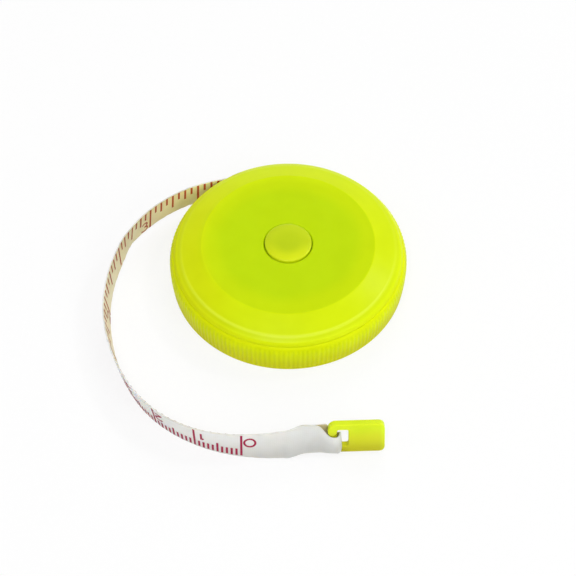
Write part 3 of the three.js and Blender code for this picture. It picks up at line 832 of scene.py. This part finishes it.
floor_profile = rounded([
    (0, 0), (24.2, 0), (24.2, 1), (4.2, 1, 0.1), (4.2, 1.2, 0.1), (2.65, 1.2, 0.2),
    (2.65, 8.7, 0.15), (1.7, 8.7, 0.15), (1.7, 2), (0, 2),
])
combine(case_base, make_piece("base_floor", *turned(floor_profile, 160), 35), "UNION")
combine(case_base, block("slit", (-3.7, 3.7), (-0.55, 0.55), (2, 9.7)))
guide_gap, guide_post, guide_inset = 0.5, 0.8, 0.84
guide_reach = slide_radius - tape_thickness / 2 - guide_gap - guide_post
squares = (inner_wall - guide_inset) ** 2 - slide_offset ** 2 - slide_radius ** 2
guide_angle = slide_bearing - math.acos(squares / (2 * slide_offset * slide_radius))
guide_foot = slide_centre + guide_reach * toward(guide_angle)
guide_profile = rounded([(0, 0.5), (guide_post, 0.5), (guide_post, 8.1, 0.2), (0, 8.1)])
guide_points, guide_faces = turned(guide_profile, 32)
guide = make_piece("guide", np.array(guide_points) + [*guide_foot, 0], guide_faces)
combine(case_base, guide, "UNION")
combine(case_base, slot_cutter())
print("lower shell:", len(case_base.data.vertices), "points")

# %% [markdown]
# ## The cover
#
# The upper shell is a flat disc with a broad bevel. Past the bevel a short brow slopes down to
# the fine seam, and a skirt drops inside the lower shell's lip. All of it is round, so it is
# turned from one profile with every corner eased.

# %% Turn the cover
cover_profile = rounded([
    (12, 10.1), (18.7, 10.1, 0.4), (23.1, 8.2, 0.4), (23.1, 5), (24.2, 5), (24.2, 7.7, 0.1),
    (24.9, 7.7, 0.1), (25, 7.85, 0.12), (24.5, 8.55, 0.22), (23.3, 9.32, 0.3),
    (18.85, 11.2, 0.8), (5.5, 11.2, 0.1), (5.26, 11, 0.1), (5.26, 10.1), (12, 10.1),
], 6)
case_cover = make_piece("case_cover", *turned(cover_profile, 320), 35)
combine(case_cover, slot_cutter())
print("cover:", len(case_cover.data.vertices), "points")

# %% [markdown]
# ## The brake button
#
# The button is a cap with a low dome and an eased edge. Under it, hidden, are the flange that
# keeps it in the case, the stem for the brake disc and two keys that slide in the post.

# %% Turn the button and add its keys
dome = [(r, 11.93 - 0.36 * (r / 4.95) ** 4) for r in np.linspace(4.8, 0, 15)]
button_profile = rounded([
    (0, 9.9), (2.95, 9.9), (2.95, 7), (4.2, 7, 0.08), (3.9, 7.3), (3.9, 8.1), (4.5, 8.1),
    (4.5, 9.2), (5.9, 9.2, 0.1), (5.9, 9.8, 0.1), (5.08, 9.8), (5.08, 11.5, 0.2),
    *dome,
], 6)
brake_button = make_piece("brake_button", *turned(button_profile, 192), 35)
for side in (1, -1):
    key = block("key", (side * 2.1, side * 3.45), (-0.25, 0.25), (7.3, 10.4))
    combine(brake_button, key, "UNION")
print("button:", len(brake_button.data.vertices), "points")

# %% [markdown]
# ## The pull tab
#
# The tab is a flat moulding like a small buckle: a plate to hold, a slot, a top rail that curls
# down as a hook, a foot and the bar for the tape. Its outline is drawn flat, pushed to its
# thickness and bevelled, and a Boolean joins the bar to it.

# %% Draw the outline and push it out
plate_rows = [(7, 0), (11.8, 0, 1.3), (11.8, 6.9, 1.5), (1.7, 6.9)]
slot_rows = [(1.9, 5.2), (2.1, 5.55, 0.3), (4.3, 5.55, 0.5), (4.3, 1.5, 0.5), (0.2, 1.5, 0.25),
             (0.2, 0, 0.45), (7, 0)]
tab_outline = np.vstack([
    rounded(plate_rows, 8), arc(1.7, 5.2, 1.7, 1.7, 90, 180, 12)[1:-1],
    arc(0.95, 5.05, 0.95, 0.95, 180, 345, 16), rounded(slot_rows, 5)[:-1],
])
count = len(tab_outline)
tab_points = [on_tab(x, side, z) for side in (-tab_half, tab_half) for x, z in tab_outline]
pull_tab = make_piece("pull_tab_plate", tab_points, tube_faces(2, count))
bevel = pull_tab.modifiers.new("bevel", "BEVEL")
bevel.width, bevel.segments, bevel.angle_limit = 0.42 * mm, 4, math.radians(50)
print("outline points:", count)

# %% Join the bar
bar_ring = np.vstack([arc(1.4, 0, 0.6, 0.6, -90, 90, 12), arc(0.8, 0, 0.6, 0.6, 90, 270, 12)])
bar = [on_tab(x, y, z) for z in (0.55, 3.8) for x, y in bar_ring]
combine(pull_tab, make_piece("bar", bar, tube_faces(2, 24)), "UNION", 30)
print("pull tab:", len(pull_tab.data.vertices), "points")

# %% [markdown]
# ## The wound tape
#
# Most of the tape stays wound on the reel: one long strip in a flat spiral, drawn that way and
# not as a block, though only a slice of it can ever be seen through the slot.

# %% Wind the spiral
def upright_strip(name, path_points, low, high, thickness):
    """A strip that stands on edge and follows a path in plan."""
    line = np.array(path_points, float)
    points = [(*spot, z) for p, reach in zip(line, half_widths(line, thickness))
              for spot, z in ((p + reach, low), (p + reach, high), (p - reach, high),
                              (p - reach, low))]
    return make_piece(name, points, tube_faces(len(line), 4))


drum_radius = 12.9
turns = (wound_radius - tape_thickness / 2 - drum_radius) / tape_thickness
winding = [(drum_radius + tape_thickness * angle / (2 * math.pi)) * toward(angle)
           for angle in np.linspace(0, 2 * math.pi * turns, int(turns * 90))]
wound_turns = upright_strip("wound_turns", winding, tape_foot, tape_foot + tape_width, 0.3)
print(f"{turns:.1f} turns are wound on the reel")

# %% [markdown]
# ## The springs
#
# The flat power spring runs from the post's slit to the drum. Its inner end stays in the slit, so
# its first half turn is a piece of its own, and the other turns ride on the reel. The button's
# coil is a bent wire that rides on the case.

# %% The power spring, in two parts
spring_turns, half_turn = 7.25, 30
spring_path = [(4 + 6.4 * share) * toward(2 * math.pi * spring_turns * share)
               for share in np.linspace(0, 1, 436)]
tail, drum_hook = [(2, 0), (2.7, 0), (3.3, 0), (3.8, 0.05)], (0, 11.5)
band = 2.3, 5.3, 0.25
spring_root = upright_strip("spring_root", [*tail, *spring_path[2:half_turn + 1]], *band)
spring_coil = upright_strip("spring_coil", [*spring_path[half_turn:], drum_hook], *band)
print("power spring:", len(spring_path), "points of its path")

# %% The button's spring
coil_low, coil_high, coil_turns, wire = 2.35, 9.55, 7, 0.35
coil_points, coil_steps = [], coil_turns * 24 + 1
for share in np.linspace(0, 1, coil_steps):
    out = toward(2 * math.pi * coil_turns * share)
    for across, up in arc(0, 0, wire / 2, wire / 2, 0, 315, 8):
        height = coil_low + (coil_high - coil_low) * share + up
        coil_points.append([*((1.2 + across) * out), height])
button_coil = make_piece("button_coil", coil_points, tube_faces(coil_steps, 8), 60)
print("button spring:", len(coil_points), "points")

# %% [markdown]
# ## Finishes of the hard pieces
#
# The case is a bright yellow-green. The middle of the cover's disc is a little greener than its
# rim, because the dark inside shows through the shell there, and painted shade with some dirt
# darkens the ribs' grooves. Painted light and shade lie on the bevel, the seam, the foot, the tab
# and the button, and a painted highlight on the cover's rim. All follow from where a point is, so
# the masks are made from its radius, height and side. The tab is the same plastic, a touch warmer.

# %% Yellow-green plastic
def cover_tint(recipe, colour, place):
    """Greener over the slim middle; painted light on bevel and brow; painted rim highlight."""
    between, below, radius = recipe.between, recipe.below, recipe.radius(place)
    across, ahead, height = recipe.parts(place)
    drift = recipe.noise(place, 0.09, 2) * 3 - 1.5
    # Painted light on the bevel: it starts crisply at the disc's edge on the front right, softly
    # elsewhere.
    crisp_light_side = between(across * 0.6 - ahead * 0.8, -11, 1)
    blurred = between(radius, 16.6, 20.4)
    bevel = between(radius, 18.55, 18.9) * crisp_light_side + blurred * (1 - crisp_light_side)
    # Painted light on the bevel and lower brow, less of it on the bevel's back and left side.
    colour = recipe.tints(
        colour, (below(radius + drift, 13.2, 17), (0.9, 0.965, 1.2)), (bevel, (1.16, 1.1, 1.6)),
        (blurred * between(ahead, 6, 18), (1, 1, 0.7)),
        (blurred * between(0 - across, 8, 20), (1, 0.94, 0.8)),
        (below(height, 8.4, 9), (1.1, 1.09, 1.2)))
    # A painted highlight along the rim's edge, strongest in front.
    rim = between(radius, 22.85, 23.15) * between(height, 9, 9.25)
    wear_and_highlight = between(0 - ahead, -4, 20) * 0.25 + 0.07
    return recipe.mix(rim * wear_and_highlight, colour, linear(240, 255, 90))


def base_tint(recipe, colour, place):
    """Painted shade and dirt in the grooves, painted shade low down, painted light at the seam."""
    between, below = recipe.between, recipe.below
    across, ahead, height = recipe.parts(place)
    turn = recipe.maths("ARCTAN2", ahead, across) * rib_count
    groove = recipe.maths("COSINE", turn) * 0.5 + 0.5
    band = between(height, 0.4, 1) * below(height, 6.6, 7.1)
    # Painted shade and dirt in the rib grooves, painted light at the seam, painted shade towards
    # the foot.
    return recipe.tints(
        colour, (groove * band * 0.22, (0.76, 0.8, 0.7)),
        (between(height, 7, 7.4), (1.06, 1.05, 1.2)),
        (below(height, 0, 7.2), (0.84, 0.74, 1)))


def tab_tint(recipe, colour, place):
    """Painted light on its sill and right edge, painted shade low down and beside the slot."""
    between, below = recipe.between, recipe.below
    across, _, height = recipe.parts(place)
    facing_up = recipe.parts(recipe.node("ShaderNodeTexCoord", out="Normal"))[2]
    sill = between(facing_up, 0.78, 0.9) * below(height, 2.6, 3.2)
    painted_shade_by_slot = below(across, 9.5, 14) * below(height, 3.2, 4.8)
    # Painted light on the sill and right edge; painted shade low down, beside the slot and below
    # the top.
    return recipe.tints(
        colour, (sill, (1.22, 1.26, 1)), (below(height, 0, 4.4), (0.72, 0.64, 0.5)),
        (painted_shade_by_slot, (0.84, 0.8, 0.7)), (between(across, 18.6, 20), (1.04, 1.16, 1.5)),
        (below(height, 3.6, 6.6), (0.95, 0.85, 0.95)))


def button_tint(recipe, colour, place):
    """A painted highlight on the rounded edge, strongest in front."""
    edge = recipe.between(recipe.radius(place), 1.6, 4.2)
    front = recipe.between(0 - recipe.parts(place)[1], -0.5, 3.8) * 0.75 + 0.25
    # The painted highlight of the button's edge.
    return recipe.tints(colour, (edge * front, (1.32, 1.2, 2.4)))


hard_finishes = (
    (case_cover, "cover_plastic", (202, 225, 5), (199, 222, 3), cover_tint, 0.1, 0.28),
    (case_base, "base_plastic", (224, 239, 6), (219, 234, 4), base_tint, 0.06, 0.36),
    (brake_button, "button_plastic", (191, 211, 8), (186, 206, 6), button_tint, 0.2, 0.28),
    (pull_tab, "warm_plastic", (222, 239, 38), (216, 234, 32), tab_tint, 0.18, 0.36),
)
for piece, name, colour, shade, tint, shine, rough in hard_finishes:
    dress(piece, plastic(name, linear(*colour), linear(*shade), tint, shine, rough))
print("hard finishes:", len(hard_finishes))

# %% Spring steel with fine lines from rolling
steel = Recipe("bright_steel", Metallic=1)
lines = steel.noise(steel.vectors("MULTIPLY", {0: steel.place(), 1: (0.4, 0.4, 9)}), 1.5, 3)
spring_steel = steel.finish(steel.mix(lines, linear(150, 154, 160), linear(178, 181, 186)),
                            0.26 + lines * 0.16, lines, 0.2, 0.01)
for piece in (spring_root, spring_coil, button_coil):
    dress(piece, spring_steel)
print("made", spring_steel.name)

# %% Black rubber with a dusty bloom
rubber = Recipe("dull_rubber", Specular_IOR_Level=0.3)
place = rubber.place()
dust = rubber.between(rubber.noise(place, 1.2, 4), 0.45, 0.75)
brake_rubber = rubber.finish(rubber.mix(dust, linear(36, 36, 37), linear(60, 59, 57)),
                             0.7 + dust * 0.2, rubber.noise(place, 8, 3), 0.4, 0.03)
print("made", brake_rubber.name)

# %% The wound tape's edge-on layers
cloth = Recipe("wound_cloth", Specular_IOR_Level=0.2)
threads = cloth.noise(cloth.place(), 4, 3)
dress(wound_turns, cloth.finish(
    cloth.mix(threads, linear(222, 220, 206), linear(205, 200, 176)), 0.6 + threads * 0.15,
    threads, 0.4, 0.03))
print("made", wound_turns.data.materials[0].name)

# %% Better materials for the CAD pieces that stay
for name in ("reel", "spring_cover", "brake_plate", "brake_disc", "brake_ring"):
    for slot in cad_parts[name].material_slots:
        slot.material = brake_rubber if name == "brake_ring" else ivory_plastic
print("finishes inside:", ivory_plastic.name, brake_rubber.name)

# %% [markdown]
# ## Tell the frame what moves
#
# Most pieces ride on a body of the solid model: the case stands still, the reel turns, the button
# sinks, the loose tape slides along its circle and the tab swings on it.

# %% Ride and replace
for piece, body, node, finish in (
    (case_base, "case", "lower_shell", "case_plastic"),
    (case_cover, "case", "cover", "case_plastic"),
    (brake_button, "button", "push_button", "case_plastic"),
    (printed_tape, "tape", "tape_strip", "tape_cloth"),
    (pull_tab, "tab", "pull_tab", "tab_plastic"),
    (wound_turns, "reel", "wound_tape", "tape_cloth"),
    (spring_coil, "reel", "power_spring", "spring_steel"),
    (button_coil, "case", "button_spring", "spring_steel"),
):
    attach(piece, body)
    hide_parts(node)
for piece in (centimetre_print, inch_print):
    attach(piece, "tape")
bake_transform(tape_end)
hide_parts("tape_end_loop")
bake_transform(spring_root)
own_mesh(button_coil)

# %% [markdown]
# ## The table and the light
#
# The picture is taken on a white table in soft light from all sides, a little more from the front
# and the right. The world gives the even part of it, and five lamps the rest. To the camera, four
# fifths of the table is plain white, so that it reads as a clean background and still keeps the
# object's shadow.

# %% White table
table = Recipe("white_table", Roughness=0.9, Specular_IOR_Level=0)
fibres = table.between(table.noise(table.place(), 0.8, 3), 0.3, 0.7)
table.feed(Base_Color=table.mix(fibres, (0.93, 0.93, 0.93, 1), (0.95, 0.95, 0.95, 1)))
white = table.node("ShaderNodeEmission", {}, {"Color": (1, 1, 1, 1), "Strength": 1})
both = table.node("ShaderNodeMixShader", {}, {
    "Fac": table.seen() * 0.8, 1: Value(table, table.shader.outputs[0]), 2: white})
table.fill(table.tree.nodes["Material Output"].inputs["Surface"], both)
table_points = [(x, y, 0) for y in (-2500, 2500) for x in (-2500, 2500)]
table_top = make_piece("table_top", table_points, [(0, 1, 3, 2)])
dress(table_top, table.material)
print("table is 5 m wide")

# %% Soft light from all sides
scene = bpy.context.scene
scene.view_settings.view_transform = "Standard"
world = bpy.data.worlds.new("studio")
world.use_nodes = True
scene.world = world
air = Net(world.node_tree)
world_light, lamp_distance = 0.36, 1.2
background = world.node_tree.nodes["Background"]
background.inputs["Color"].default_value = (1, 1, 1, 1)
air.fill(background.inputs["Strength"], world_light + air.seen() * (1 - world_light))


def soft_lamp(name, bearing, elevation, share, size=0.6, mirrored=True):
    """A square lamp that adds a share of white light to a surface that faces it."""
    data = bpy.data.lights.new(name, "AREA")
    data.size, data.energy = size, share * math.pi ** 2 * lamp_distance ** 2
    lamp = bpy.data.objects.new(name, data)
    lamp.visible_glossy = mirrored
    bearing, elevation = math.radians(bearing), math.radians(elevation)
    x, y = toward(bearing) * math.cos(elevation)
    lamp.location = lamp_distance * Vector((x, y, math.sin(elevation)))
    lamp.rotation_euler = lamp.location.to_track_quat("Z", "Y").to_euler()
    scene.collection.objects.link(lamp)


soft_lamp("front_right_lamp", -48, 34, 0.26)
soft_lamp("front_lamp", -102, 60, 0.31, 0.4)
soft_lamp("back_lamp", 78, 38, 0.25, mirrored=False)
soft_lamp("left_lamp", -170, 34, 0.07, mirrored=False)
soft_lamp("right_lamp", 24.3, 47.8, 0.14, 0.12)
print("lamps:", len(bpy.data.lights))
